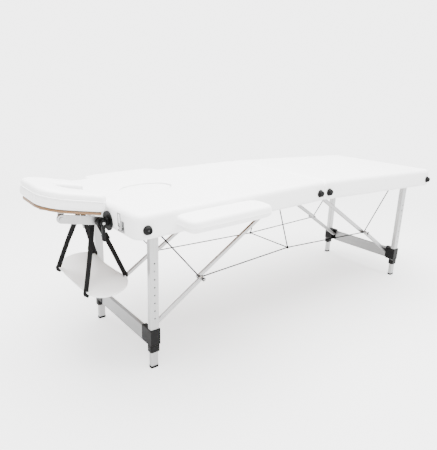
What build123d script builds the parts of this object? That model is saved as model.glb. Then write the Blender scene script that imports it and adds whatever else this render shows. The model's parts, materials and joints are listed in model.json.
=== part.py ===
"""Portable facial treatment bed: a two-part folding table on four height-adjustable legs.

Millimetres, +Z up, +X towards the foot end. The origin is on the floor, below the middle of
the whole outline. The fold line is parallel to Y at x = FOLD_X. Unloaded, the two table
halves droop from the fold by ARCH degrees each, and their legs stand upright.

Each half has its own frame of reference: x outward from the fold line, z up from the hinge
axis along its bottom edge. The face cradle has one too: x outward along its arms from the
knuckle, z up through its cushion.
"""

import os
from math import cos, radians, sin

from build123d import *

os.makedirs("parts", exist_ok=True)

# ---- driving dimensions -------------------------------------------------------------------
FOLD_X = 118.33  # fold line, so that the origin is below the middle of the outline
FOLD_Z = 582.4  # height of the hinge axis, with the halves in their unloaded arch
ARCH = 1.58  # droop of each half, degrees

HALF_LENGTH = 930.0
HALF_WIDTH = 330.0
TOP = 88.5  # top of the upholstery above the hinge axis
EDGE_GAP = 0.5  # the bottom edges stay this far from the fold plane
COVER = 2.0  # upholstery skin
RAIL = 22.0  # frame rail thickness
RAIL_TOP = 50.5
DECK = 6.0
OUTER_CORNER = 35.0
FOLD_CORNER = 8.0

HOLE_X = 710.0  # breathing hole
HOLE_LENGTH = 220.0
HOLE_WIDTH = 150.0
PLUG_GAP = 0.5

LEG_X = 820.3  # leg pivots in a half's frame
LEG_PIVOT_Z = 24.5
LEG_Y = 240.2
LEG_DEPTH = 36.0
LEG_WIDTH = 25.0
LEG_WALL = 2.0
LEG_CORNER = 4.0
LEG_END_Z = 97.0  # lower end of the outer tube above the floor
LEG_HOLE_TOP_Z = 432.0
LEG_HOLE_PITCH = 31.5
LEG_HOLES = 8
LEG_HOLE_R = 3.2
BUTTON_HOLE = 1  # the hole that the locking button sits in, counted from the top
BUTTON_R = 3.0

FOOT_HEIGHT = 9.0
COLLAR_BOTTOM = 70.0
BRACKET_BOTTOM = 100.0
BRACKET_TOP = 165.0
LOBE_Y = 187.0  # inboard face of the bracket, where the crossbar meets it
CROSSBAR_BOTTOM = 96.0
CROSSBAR_TOP = 157.0
CROSSBAR_DEPTH = 16.0
CROSSBAR_X = 2.0  # outboard of the leg's middle

BRACE_TALL = 20.0
BRACE_THICK = 12.0
BRACE_CHAMFER = 3.5
LOWER_BRACE_Y = 195.0
UPPER_BRACE_Y = 176.0
BRACE_FOOT_Z = 140.0  # height of the lower brace's pivot
BRACE_FOOT_IN = 13.0  # how far inboard of the leg's centre it is
BRACE_TOP_X = 50.0  # upper brace's pivot in a half's frame
BRACE_TOP_Z = LEG_PIVOT_Z + BRACE_FOOT_IN
BRACE_SPARE = 0.02  # the two braces together are this much longer than a straight line
PIN_R = 4.0
PIN_GAP = 0.05
STUB_GAP = 0.5  # between the knee's two stubs, and between the upper brace and its ear

CABLE_R = 1.5
CABLE_Y = 185.5
STUB_REACH = 3.0  # the leg pivots reach this far past the cable eyes
EYE_GAP = 12.0
JOIN_R = 5.0
JOIN_Y = 138.0
JOIN_Z = 300.0
ANCHOR_Y = 40.0
ANCHOR_Z = 578.0

ARMREST_X = (425.0, 800.0)
ARMREST_Y = (334.0, 455.0)
ARMREST_Z = (29.0, 74.0)
ARMREST_BOARD = 14.0
ARMREST_CORNER = 38.0
POST_R = 7.0
POST_XS = (520.0, 705.0)
POST_END_Y = 284.0
SIDE_SOCKET_Y = 280.0

KNUCKLE_X = 960.0  # cradle knuckle in the head half's frame
KNUCKLE_Z = 21.5
CRADLE_POST_Y = 122.0
CRADLE_POST_R = 8.0
CRADLE_POST_END = 876.0
CRADLE_SOCKET_END = 872.0
BUSH_R = 11.0
CRADLE_TILT = 11.0
ARM_Y = 104.0
ARM_LENGTH = 135.0
ARM_TALL = 30.0
ARM_THICK = 8.0
HUB_R = 17.0
HUB_Y = (112.0, 132.0)
ROD_REACH = 4.0  # the cradle rod reaches this far past the lever
TIP_REACH = 3.0
FLANGE_R = 36.0
FLANGE_X = (931.0, 937.0)
SHANK_GAP = 15.0  # the flange's shank ends this far from the knuckle's axis
ROD_R = 5.0
LEVER_Y = (134.0, 144.0)
LEVER_LENGTH = 62.0
LEVER_HUB_R = 11.0
LEVER_TIP_R = 6.0
BOARD_Z = (29.0, 37.5)
BOARD_INSET = 10.0
PILLOW_TOP = 100.0
PILLOW_END = 225.0
PILLOW_START = -4.0
PILLOW_HALF_WIDTH = 157.0
FACE_CORNER = 92.0
FACE_HOLE_END = 125.0
FACE_HOLE_HALF = 50.0
TIP_CORNER = 22.0
LUG_Y = (90.0, 97.0)

SLING_OUTER = (-1035.0, 333.0)  # distance from the fold and height of the sling's outer edge
SLING_INNER = (-882.0, 362.0)
SLING_HALF_WIDTH = 222.0
SLING_CORNER = 76.0
SLING_THICK = 6.0
STRAP_TOP = (-962.0, 562.0)
STRAP_SPREAD = 14.0  # half the distance between a pair of straps at their tops
STRAP_TOP_Y = 66.0
STRAP_LOW_Y = 140.0
STRAP_LIFT = 6.5  # the straps end this much above the sling's edge line
STRAP_WIDTH = 18.0
STRAP_THICK = 2.0

HINGE_Y = 200.0
HINGE_LENGTH = 60.0
HINGE_R = 3.5
HINGE_PIN_R = 2.0
HINGE_NOTCH = 4.5
LEAF_LENGTH = 22.0
LEAF_THICK = 2.0
KNUCKLE_LENGTH = 19.0

EAR_THICK = 2.5
EAR_HALF = 10.0
LEG_EARS = (LEG_Y - 17.0, LEG_Y + 17.0)
PLATE = 2.0
BOLT_HEAD = 4.0
BOLT_HEAD_R = 7.0
BRACE_EAR_Y = 186.0

BUMPER_XS = (30.0, 890.0)
BUMPER_Z = 32.9
BUMPER_R = 17.0
BUMPER_PROUD = 16.0
BUMPER_TAPER = 12.0

LATCH_Y = 230.0
LATCH_Z = 13.0
LATCH_AXIS_X = 938.0
LATCH_PLATE_Z = (6.0, 46.0)
LATCH_WIDTH = 30.0
LATCH_SHEET = 2.0
LATCH_LEVER = 26.0
LATCH_LEVER_WIDTH = 20.0
LATCH_LOOP_TOP = 76.0
LATCH_WIRE = 2.4
LATCH_EAR_R = 4.0
LATCH_PIN_R = 1.5
LATCH_PIN_REACH = 3.0
KEEPER_Z = 27.0
KEEPER_HALF = 6.0
KEEPER_PROUD = 8.0
KEEPER_THICK = 3.0
KEEPER_TALL = 8.0

BRACKET_WALL = 3.0
BRACKET_GAP = 2.0
COLLAR_DEPTH = 40.0
COLLAR_WIDTH = 30.0
COLLAR_CORNER = 6.0
BRACE_PIN_DEPTH = 12.0
BRACE_PIN_REACH = 10.0
EXT_DEPTH = 31.0
EXT_WIDTH = 20.4
EXT_GAP = 0.3
EXT_CORNER = 5.0
EXT_WALL = 2.0
EXT_TOP_Z = 420.0
EXT_BOTTOM_Z = 3.0
RUBBER_WALL = 1.2
BUTTON_TIP = LEG_Y + 15.5
BUTTON_ROOT = LEG_Y + 10.7

SIDES = {"head": -1, "foot": 1}
HANDS = {"left": -1, "right": 1}
POST_Z = ARMREST_Z[0] + ARMREST_BOARD / 2
HALF_MIDDLE = (HALF_LENGTH + EDGE_GAP) / 2
LEAF_TOP = EDGE_GAP + LEAF_THICK


# ---- frames of reference ------------------------------------------------------------------
def half_frame(side):
    """Frame of one table half, with its origin on the fold line."""
    droop = radians(ARCH)
    return Plane(
        origin=(FOLD_X, 0, FOLD_Z),
        x_dir=(side * cos(droop), 0, -sin(droop)),
        z_dir=(side * sin(droop), 0, cos(droop)),
    )


def spot(frame, x, y, z, face="xy"):
    """Sketch plane at a point of a frame, parallel to the named pair of its axes."""
    turns = {
        "xy": (frame.x_dir, frame.z_dir),
        "yz": (frame.y_dir, frame.x_dir),
        "xz": (frame.x_dir, frame.y_dir * -1),
    }
    x_dir, z_dir = turns[face]
    return Plane(frame.from_local_coords(Vector(x, y, z)), x_dir=x_dir, z_dir=z_dir)


def upright_frame(side, point):
    """Frame at a point, with x outward from the fold and z straight up."""
    return Plane(origin=point, x_dir=(side, 0, 0), z_dir=(0, 0, 1))


def link_frame(start, end, side):
    """Frame at start with x towards end, y level, for a link that lies in an XZ plane."""
    along = (end - start).normalized()
    level = Vector(0, side, 0)
    return Plane(origin=start, x_dir=along, z_dir=along.cross(level))


def save(piece, name):
    piece.part.label = name
    export_step(piece.part, f"parts/{name}.step")


HALF = {name: half_frame(side) for name, side in SIDES.items()}


def leg_pivot(name):
    """Middle of the leg pair's pivot axis."""
    return HALF[name].from_local_coords(Vector(LEG_X, 0, LEG_PIVOT_Z))


def brace_points(name):
    """The brace's top pivot, knee and foot pivot, all at y = 0."""
    top = HALF[name].from_local_coords(Vector(BRACE_TOP_X, 0, BRACE_TOP_Z))
    pivot = leg_pivot(name)
    side = SIDES[name]
    foot = Vector(pivot.X - side * BRACE_FOOT_IN, 0, BRACE_FOOT_Z)
    stowed_gap = LEG_X - (pivot.Z - BRACE_FOOT_Z) - BRACE_TOP_X
    reach = (foot - top).length + BRACE_SPARE
    upper = (reach + stowed_gap) / 2
    lower = (reach - stowed_gap) / 2
    span = (foot - top).length
    along = (upper**2 - lower**2 + span**2) / (2 * span)
    rise = (upper**2 - along**2) ** 0.5
    direction = (foot - top).normalized()
    normal = Vector(-direction.Z * side, 0, direction.X * side)
    knee = top + direction * along + normal * rise
    return top, knee, foot


# ---- shapes drawn in the open sketch --------------------------------------------------------
def half_plan(inset):
    """Plan of a table half, centred on the sketch, with rounder corners at its outer end."""
    Rectangle(HALF_LENGTH - EDGE_GAP - 2 * inset, 2 * (HALF_WIDTH - inset))
    fillet(vertices().group_by(Axis.X)[-1], OUTER_CORNER - inset)
    fillet(vertices().group_by(Axis.X)[0], FOLD_CORNER - inset)


def breathing_hole(gap=0.0, mode=Mode.SUBTRACT):
    """Oval breathing hole of the head half, for a sketch centred on the half's plan."""
    with Locations((HOLE_X - HALF_MIDDLE, 0)):
        Ellipse(HOLE_LENGTH / 2 - gap, HOLE_WIDTH / 2 - gap, mode=mode)


def horseshoe(inset):
    """Plan of the face rest: a U that opens towards the table, in cradle coordinates."""
    start = PILLOW_START + inset
    end = PILLOW_END - inset
    with Locations(((start + end) / 2, 0)):
        Rectangle(end - start, 2 * (PILLOW_HALF_WIDTH - inset))
    fillet(vertices().group_by(Axis.X)[-1], FACE_CORNER)
    hole_half = FACE_HOLE_HALF + inset
    with Locations((FACE_HOLE_END + inset - hole_half, 0)):
        Circle(hole_half, mode=Mode.SUBTRACT)
    slot_end = FACE_HOLE_END + inset - hole_half
    with Locations(((start + slot_end) / 2, 0)):
        Rectangle(slot_end - start, 2 * hole_half, mode=Mode.SUBTRACT)
    fillet(vertices().group_by(Axis.X)[0], TIP_CORNER)


# ---- shapes added to, or cut from, the open part ---------------------------------------------
def bar(frame, xs, ys, zs, mode=Mode.ADD):
    """Rectangular block between pairs of frame coordinates."""
    with BuildSketch(spot(frame, sum(xs) / 2, sum(ys) / 2, min(zs))) as face:
        Rectangle(abs(xs[1] - xs[0]), abs(ys[1] - ys[0]))
    extrude(face.sketch, amount=abs(zs[1] - zs[0]), mode=mode)


def pin(frame, x, z, radius, ys, mode=Mode.ADD):
    """Cylinder along y."""
    with BuildSketch(spot(frame, x, max(ys), z, "xz")) as face:
        Circle(radius)
    extrude(face.sketch, amount=max(ys) - min(ys), mode=mode)


def rod(frame, y, z, radius, xs, mode=Mode.ADD):
    """Cylinder along x."""
    with BuildSketch(spot(frame, min(xs), y, z, "yz")) as face:
        Circle(radius)
    extrude(face.sketch, amount=max(xs) - min(xs), mode=mode)


def column(frame, x, y, zs, depth, width, corner, mode=Mode.ADD):
    """Upright bar with rounded edges."""
    with BuildSketch(spot(frame, x, y, min(zs))) as face:
        RectangleRounded(depth, width, corner)
    extrude(face.sketch, amount=max(zs) - min(zs), mode=mode)


def both(inner, outer, hand):
    """The stretch from inner to outer, measured from the middle towards one hand."""
    return (hand * inner, hand * outer)


def ear(frame, x, z, ys):
    """Sheet-metal ear that hangs from the deck and carries a pin at x, z."""
    pin(frame, x, z, EAR_HALF, ys)
    bar(frame, (x - EAR_HALF, x + EAR_HALF), ys, (z, RAIL_TOP))


def cut_sockets(frame):
    """Bores for the cradle posts and the armrest posts, through the head half's edge."""
    for hand in HANDS.values():
        end_bore = (CRADLE_SOCKET_END, HALF_LENGTH + COVER)
        rod(frame, hand * CRADLE_POST_Y, KNUCKLE_Z, BUSH_R, end_bore, Mode.SUBTRACT)
        for x in POST_XS:
            side_bore = both(SIDE_SOCKET_Y, HALF_WIDTH + COVER, hand)
            pin(frame, x, POST_Z, BUSH_R, side_bore, Mode.SUBTRACT)


def cut_hinge_notches(frame):
    """Room for the hinge knuckles along the bottom edge of the fold."""
    half = HINGE_LENGTH / 2 + EDGE_GAP
    for y in (-HINGE_Y, HINGE_Y):
        notch = (0, HINGE_NOTCH)
        bar(frame, notch, (y - half, y + half), notch, Mode.SUBTRACT)


def hinge_leaf(frame, y, knuckle_steps):
    """One hinge leaf with its knuckles, which turn about the frame's y axis."""
    half = HINGE_LENGTH / 2
    bar(frame, (HINGE_NOTCH, LEAF_LENGTH), (y - half, y + half), (EDGE_GAP, LEAF_TOP))
    for step in knuckle_steps:
        span = (y + step - KNUCKLE_LENGTH / 2, y + step + KNUCKLE_LENGTH / 2)
        pin(frame, 0, 0, HINGE_R, span)
        bar(frame, (0, HINGE_NOTCH + 1), span, (EDGE_GAP, LEAF_TOP))
    pin(frame, 0, 0, HINGE_PIN_R + PIN_GAP, (y - half, y + half), Mode.SUBTRACT)


def latch_ears(frame, y):
    """Pair of ears on the head end that carry a latch lever."""
    for end in (-1, 1):
        start = y + end * (LATCH_LEVER_WIDTH / 2 + 1)
        ear_ys = (start, start + end * LATCH_SHEET)
        ear_zs = (LATCH_Z - LATCH_EAR_R, LATCH_Z + LATCH_EAR_R)
        pin(frame, LATCH_AXIS_X, LATCH_Z, LATCH_EAR_R, ear_ys)
        bar(frame, (HALF_LENGTH, LATCH_AXIS_X), ear_ys, ear_zs)
        pin(frame, LATCH_AXIS_X, LATCH_Z, LATCH_PIN_R + PIN_GAP, ear_ys, Mode.SUBTRACT)


def latch_keeper(frame, y):
    """Hook on the foot end that a latch loop catches."""
    hook_ys = (y - KEEPER_HALF, y + KEEPER_HALF)
    reach = HALF_LENGTH + KEEPER_PROUD
    bar(frame, (HALF_LENGTH, reach), hook_ys, (KEEPER_Z, KEEPER_Z + KEEPER_THICK))
    bar(frame, (reach - LATCH_SHEET, reach), hook_ys, (KEEPER_Z, KEEPER_Z + KEEPER_TALL))


# ---- table halves ----------------------------------------------------------------------------
for name, side in SIDES.items():
    half = HALF[name]
    is_head = name == "head"
    plan = spot(half, HALF_MIDDLE, 0, 0)

    # beech rails
    with BuildPart() as rails:
        with BuildSketch(plan.offset(EDGE_GAP)):
            half_plan(COVER)
            inner_length = HALF_LENGTH - EDGE_GAP - 2 * (COVER + RAIL)
            Rectangle(inner_length, 2 * (HALF_WIDTH - COVER - RAIL), mode=Mode.SUBTRACT)
        extrude(amount=RAIL_TOP - EDGE_GAP)
        cut_hinge_notches(half)
        for y in (-HINGE_Y, HINGE_Y):
            leaf_ys = (y - HINGE_LENGTH / 2, y + HINGE_LENGTH / 2)
            bar(half, (0, LEAF_LENGTH), leaf_ys, (0, LEAF_TOP), Mode.SUBTRACT)
        if is_head:
            cut_sockets(half)
    save(rails, f"{name}_rails")

    with BuildPart() as deck:
        with BuildSketch(plan.offset(RAIL_TOP)):
            half_plan(COVER)
            if is_head:
                breathing_hole()
        extrude(amount=DECK)
    save(deck, f"{name}_deck")

    with BuildPart() as foam:
        with BuildSketch(plan.offset(RAIL_TOP + DECK)):
            half_plan(COVER)
            if is_head:
                breathing_hole()
        extrude(amount=TOP - COVER - RAIL_TOP - DECK)
    save(foam, f"{name}_foam")

    # upholstery skin, over the top and down the sides to the bottom edge
    with BuildPart() as cover:
        with BuildSketch(plan.offset(EDGE_GAP)):
            half_plan(0)
        extrude(amount=TOP - EDGE_GAP)
        with BuildSketch(plan.offset(EDGE_GAP)):
            half_plan(COVER)
        extrude(amount=TOP - COVER - EDGE_GAP, mode=Mode.SUBTRACT)
        cut_hinge_notches(half)
        if is_head:
            with BuildSketch(plan.offset(TOP - 2 * COVER)):
                breathing_hole(mode=Mode.ADD)
            extrude(amount=3 * COVER, mode=Mode.SUBTRACT)
            cut_sockets(half)
    save(cover, f"{name}_cover")

    # rubber bumpers on the long side that the closed case stands on
    with BuildPart() as bumpers:
        root = -side * HALF_WIDTH
        for x in BUMPER_XS:
            with BuildSketch(spot(half, x, root, BUMPER_Z, "xz")):
                Circle(BUMPER_R)
            extrude(amount=side * BUMPER_PROUD, taper=BUMPER_TAPER)
    save(bumpers, f"{name}_bumpers")

    # steel fittings: hinge leaves, leg pivots with their bolts, and brace ears
    with BuildPart() as fittings:
        for y in (-HINGE_Y, HINGE_Y):
            steps = (-KNUCKLE_LENGTH - 1, KNUCKLE_LENGTH + 1) if is_head else (0,)
            hinge_leaf(half, y, steps)
        for hand in HANDS.values():
            for ear_y in LEG_EARS:
                ear(half, LEG_X, LEG_PIVOT_Z, both(ear_y, ear_y + EAR_THICK, hand))
            plate_ys = both(LEG_EARS[0], LEG_EARS[1] + EAR_THICK, hand)
            plate_xs = (LEG_X - 2 * EAR_HALF, LEG_X + 2 * EAR_HALF)
            bar(half, plate_xs, plate_ys, (RAIL_TOP - PLATE, RAIL_TOP))
            head_y = LEG_EARS[1] + EAR_THICK
            pin(half, LEG_X, LEG_PIVOT_Z, PIN_R, both(CABLE_Y - STUB_REACH, head_y, hand))
            pin(half, LEG_X, LEG_PIVOT_Z, BOLT_HEAD_R, both(head_y, head_y + BOLT_HEAD, hand))
            ear_ys = both(BRACE_EAR_Y, BRACE_EAR_Y + EAR_THICK, hand)
            ear(half, BRACE_TOP_X, BRACE_TOP_Z, ear_ys)
            pin(half, BRACE_TOP_X, BRACE_TOP_Z, PIN_R + PIN_GAP, ear_ys, Mode.SUBTRACT)
            latch_ys = (hand * LATCH_Y - LATCH_WIDTH / 2, hand * LATCH_Y + LATCH_WIDTH / 2)
            bar(half, (HALF_LENGTH, HALF_LENGTH + LATCH_SHEET), latch_ys, LATCH_PLATE_Z)
            if is_head:
                latch_ears(half, hand * LATCH_Y)
            else:
                latch_keeper(half, hand * LATCH_Y)
    save(fittings, f"{name}_fittings")

head = HALF["head"]
foot_half = HALF["foot"]

with BuildPart() as bushes:
    for hand in HANDS.values():
        y = hand * CRADLE_POST_Y
        end_span = (CRADLE_SOCKET_END, HALF_LENGTH)
        rod(head, y, KNUCKLE_Z, BUSH_R, end_span)
        rod(head, y, KNUCKLE_Z, CRADLE_POST_R + PIN_GAP, end_span, Mode.SUBTRACT)
        for x in POST_XS:
            side_span = both(SIDE_SOCKET_Y, HALF_WIDTH, hand)
            pin(head, x, POST_Z, BUSH_R, side_span)
            pin(head, x, POST_Z, POST_R + PIN_GAP, side_span, Mode.SUBTRACT)
save(bushes, "socket_bushes")

with BuildPart() as plug:
    with BuildSketch(spot(head, HALF_MIDDLE, 0, RAIL_TOP)):
        breathing_hole(PLUG_GAP, Mode.ADD)
    extrude(amount=TOP - RAIL_TOP)
save(plug, "breath_hole_plug")

with BuildPart() as hinge_pins:
    for y in (-HINGE_Y, HINGE_Y):
        pin(head, 0, 0, HINGE_PIN_R, (y - HINGE_LENGTH / 2, y + HINGE_LENGTH / 2))
save(hinge_pins, "hinge_pins")

# ---- case latch levers with their wire loops --------------------------------------------------
for hand_name, hand in HANDS.items():
    y = -hand * LATCH_Y
    lever_ys = (y - LATCH_LEVER_WIDTH / 2, y + LATCH_LEVER_WIDTH / 2)
    with BuildPart() as latch:
        pin_ys = (lever_ys[0] - LATCH_PIN_REACH, lever_ys[1] + LATCH_PIN_REACH)
        pin(head, LATCH_AXIS_X, LATCH_Z, LATCH_PIN_R, pin_ys)
        pin(head, LATCH_AXIS_X, LATCH_Z, LATCH_EAR_R, lever_ys)
        lever_xs = (LATCH_AXIS_X, LATCH_AXIS_X + LATCH_SHEET)
        bar(head, lever_xs, lever_ys, (LATCH_Z, LATCH_Z + LATCH_LEVER))
        loop_xs = (LATCH_AXIS_X + LATCH_SHEET, LATCH_AXIS_X + LATCH_SHEET + LATCH_WIRE)
        loop_zs = (LATCH_Z + LATCH_LEVER / 2, LATCH_LOOP_TOP)
        bar(head, loop_xs, lever_ys, loop_zs)
        inner_ys = (lever_ys[0] + LATCH_WIRE, lever_ys[1] - LATCH_WIRE)
        inner_zs = (loop_zs[0] + LATCH_WIRE, loop_zs[1] - LATCH_WIRE)
        bar(head, loop_xs, inner_ys, inner_zs, Mode.SUBTRACT)
    save(latch, f"latch_{hand_name}")

# ---- legs and braces -------------------------------------------------------------------------
for name, side in SIDES.items():
    pivot = leg_pivot(name)
    leg = upright_frame(side, Vector(pivot.X, 0, 0))
    pivot_z = pivot.Z

    with BuildPart() as tubes:
        for hand in HANDS.values():
            y = hand * LEG_Y
            wall_ys = (y - LEG_WIDTH / 2, y + LEG_WIDTH / 2)
            column(leg, 0, y, (LEG_END_Z, pivot_z), LEG_DEPTH, LEG_WIDTH, LEG_CORNER)
            pin(leg, 0, pivot_z, LEG_DEPTH / 2, wall_ys)
            hollow = (LEG_END_Z, pivot_z - LEG_DEPTH)
            depth = LEG_DEPTH - 2 * LEG_WALL
            width = LEG_WIDTH - 2 * LEG_WALL
            column(leg, 0, y, hollow, depth, width, LEG_CORNER - 1, Mode.SUBTRACT)
            pin(leg, 0, pivot_z, PIN_R + PIN_GAP, wall_ys, Mode.SUBTRACT)
            face_ys = both(LEG_Y, LEG_Y + LEG_WIDTH, hand)
            for step in range(LEG_HOLES):
                z = LEG_HOLE_TOP_Z - step * LEG_HOLE_PITCH
                pin(leg, 0, z, LEG_HOLE_R, face_ys, Mode.SUBTRACT)
    save(tubes, f"{name}_legs")

    # moulded brackets at the foot of the tubes, each with a lobe that holds the crossbar
    lobe_y = LOWER_BRACE_Y + BRACE_THICK / 2 + BRACKET_GAP
    outer_y = LEG_Y + LEG_WIDTH / 2 + BRACKET_WALL
    outer_x = LEG_DEPTH / 2 + BRACKET_WALL
    bracket_zs = (BRACKET_BOTTOM, BRACKET_TOP)
    with BuildPart() as brackets:
        for hand in HANDS.values():
            y = hand * LEG_Y
            bar(leg, (-outer_x, outer_x), both(lobe_y, outer_y, hand), bracket_zs)
            bar(leg, (0, outer_x), both(LOBE_Y, lobe_y, hand), bracket_zs)
            collar_zs = (COLLAR_BOTTOM, LEG_END_Z)
            column(leg, 0, y, collar_zs, COLLAR_DEPTH, COLLAR_WIDTH, COLLAR_CORNER)
            tube_zs = (LEG_END_Z, BRACKET_TOP + 1)
            column(leg, 0, y, tube_zs, LEG_DEPTH, LEG_WIDTH, LEG_CORNER, Mode.SUBTRACT)
            bore_depth = EXT_DEPTH + 2 * EXT_GAP
            bore_width = EXT_WIDTH + 2 * EXT_GAP
            bore_zs = (COLLAR_BOTTOM - 1, LEG_END_Z + 1)
            column(leg, 0, y, bore_zs, bore_depth, bore_width, EXT_CORNER, Mode.SUBTRACT)
            pin_ys = both(lobe_y, lobe_y + BRACE_PIN_DEPTH, hand)
            pin(leg, -BRACE_FOOT_IN, BRACE_FOOT_Z, PIN_R + PIN_GAP, pin_ys, Mode.SUBTRACT)
    save(brackets, f"{name}_leg_brackets")

    with BuildPart() as crossbar:
        bar_xs = (CROSSBAR_X, CROSSBAR_X + CROSSBAR_DEPTH)
        bar(leg, bar_xs, (-LOBE_Y, LOBE_Y), (CROSSBAR_BOTTOM, CROSSBAR_TOP))
    save(crossbar, f"{name}_crossbar")

    # telescoping extensions with their rubber feet and spring buttons
    button_z = LEG_HOLE_TOP_Z - BUTTON_HOLE * LEG_HOLE_PITCH
    for hand_name, hand in HANDS.items():
        label = f"{name}_{hand_name}"
        local_hand = side * hand
        y = local_hand * LEG_Y
        with BuildPart() as extension:
            tube_zs = (EXT_BOTTOM_Z, EXT_TOP_Z)
            column(leg, 0, y, tube_zs, EXT_DEPTH, EXT_WIDTH, EXT_CORNER)
            depth = EXT_DEPTH - 2 * EXT_WALL
            width = EXT_WIDTH - 2 * EXT_WALL
            column(leg, 0, y, tube_zs, depth, width, EXT_CORNER - EXT_WALL, Mode.SUBTRACT)
            button_ys = both(LEG_Y, LEG_Y + EXT_WIDTH, local_hand)
            pin(leg, 0, button_z, LEG_HOLE_R, button_ys, Mode.SUBTRACT)
        save(extension, f"leg_extension_{label}")

        with BuildPart() as rubber:
            depth = EXT_DEPTH + 2 * RUBBER_WALL
            width = EXT_WIDTH + 2 * RUBBER_WALL
            column(leg, 0, y, (0, FOOT_HEIGHT), depth, width, EXT_CORNER + RUBBER_WALL)
            socket_zs = (EXT_BOTTOM_Z, FOOT_HEIGHT + 1)
            column(leg, 0, y, socket_zs, EXT_DEPTH, EXT_WIDTH, EXT_CORNER, Mode.SUBTRACT)
        save(rubber, f"rubber_foot_{label}")

        with BuildPart() as button:
            pin(leg, 0, button_z, BUTTON_R, both(BUTTON_ROOT, BUTTON_TIP, local_hand))
        save(button, f"height_button_{label}")

    # braces: two flat-oval lengths on each side, side by side at the knee
    top, knee, foot = brace_points(name)
    half_thick = BRACE_THICK / 2
    for hand_name, hand in HANDS.items():
        label = f"{name}_{hand_name}"
        local_hand = side * hand
        lower = link_frame(foot, knee, side)
        lower_length = (knee - foot).length
        lower_ys = both(LOWER_BRACE_Y - half_thick, LOWER_BRACE_Y + half_thick, local_hand)
        with BuildPart() as lower_brace:
            with BuildSketch(spot(lower, lower_length / 2, max(lower_ys), 0, "xz")):
                SlotCenterToCenter(lower_length, BRACE_TALL)
            extrude(amount=BRACE_THICK)
            chamfer(faces().filter_by(Axis.Y).edges(), BRACE_CHAMFER)
            foot_ys = both(LOWER_BRACE_Y - half_thick - BOLT_HEAD, lobe_y + BRACE_PIN_REACH, local_hand)
            pin(lower, 0, 0, PIN_R, foot_ys)
            cap_ys = both(LOWER_BRACE_Y - half_thick - BOLT_HEAD, LOWER_BRACE_Y, local_hand)
            pin(lower, 0, 0, BOLT_HEAD_R, cap_ys)
            knee_ys = both(CABLE_Y + STUB_GAP, LOWER_BRACE_Y + half_thick + BOLT_HEAD, local_hand)
            pin(lower, lower_length, 0, PIN_R, knee_ys)
            cap_ys = both(LOWER_BRACE_Y, LOWER_BRACE_Y + half_thick + BOLT_HEAD, local_hand)
            pin(lower, lower_length, 0, BOLT_HEAD_R, cap_ys)
        save(lower_brace, f"lower_brace_{label}")

        upper = link_frame(top, knee, side)
        upper_length = (knee - top).length
        upper_ys = both(UPPER_BRACE_Y - half_thick, UPPER_BRACE_Y + half_thick, local_hand)
        with BuildPart() as upper_brace:
            with BuildSketch(spot(upper, upper_length / 2, max(upper_ys), 0, "xz")):
                SlotCenterToCenter(upper_length, BRACE_TALL)
            extrude(amount=BRACE_THICK)
            chamfer(faces().filter_by(Axis.Y).edges(), BRACE_CHAMFER)
            top_ys = both(UPPER_BRACE_Y, BRACE_EAR_Y + EAR_THICK + BOLT_HEAD, local_hand)
            pin(upper, 0, 0, PIN_R, top_ys)
            cap_ys = both(BRACE_EAR_Y + EAR_THICK + STUB_GAP, top_ys[1] * local_hand, local_hand)
            pin(upper, 0, 0, BOLT_HEAD_R, cap_ys)
            knee_ys = both(UPPER_BRACE_Y - half_thick - BOLT_HEAD, CABLE_Y - STUB_GAP, local_hand)
            pin(upper, upper_length, 0, PIN_R, knee_ys)
            cap_ys = both(UPPER_BRACE_Y - half_thick - BOLT_HEAD, UPPER_BRACE_Y, local_hand)
            pin(upper, upper_length, 0, BOLT_HEAD_R, cap_ys)
        save(upper_brace, f"upper_brace_{label}")


# ---- bracing cables ----------------------------------------------------------------------------
def cable(start, end, start_gap, end_gap):
    """Straight stretch of steel cable, cut back from both points."""
    along = (end - start).normalized()
    first = start + along * start_gap
    length = (end - start).length - start_gap - end_gap
    with BuildSketch(Plane(origin=first, z_dir=along)) as face:
        Circle(CABLE_R)
    extrude(face.sketch, amount=length)


for name in SIDES:
    knee = brace_points(name)[1]
    pivot = leg_pivot(name)
    with BuildPart() as cables:
        for hand in HANDS.values():
            knee_eye = Vector(knee.X, hand * CABLE_Y, knee.Z)
            join = Vector(FOLD_X, hand * JOIN_Y, JOIN_Z)
            cable(Vector(pivot.X, hand * CABLE_Y, pivot.Z), knee_eye, EYE_GAP, EYE_GAP)
            cable(knee_eye, join, EYE_GAP, JOIN_R + 1)
    save(cables, f"{name}_cables")

with BuildPart() as fold_cables:
    joins = [Vector(FOLD_X, hand * JOIN_Y, JOIN_Z) for hand in HANDS.values()]
    cable(joins[0], joins[1], 0, 0)
    for hand, join in zip(HANDS.values(), joins):
        with BuildSketch(Plane.XY.offset(JOIN_Z - JOIN_R)):
            with Locations((join.X, join.Y)):
                Circle(JOIN_R)
        extrude(amount=2 * JOIN_R)
        cable(join, Vector(FOLD_X - RAIL / 2, hand * ANCHOR_Y, ANCHOR_Z), 0, 0)
save(fold_cables, "fold_cables")

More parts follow.
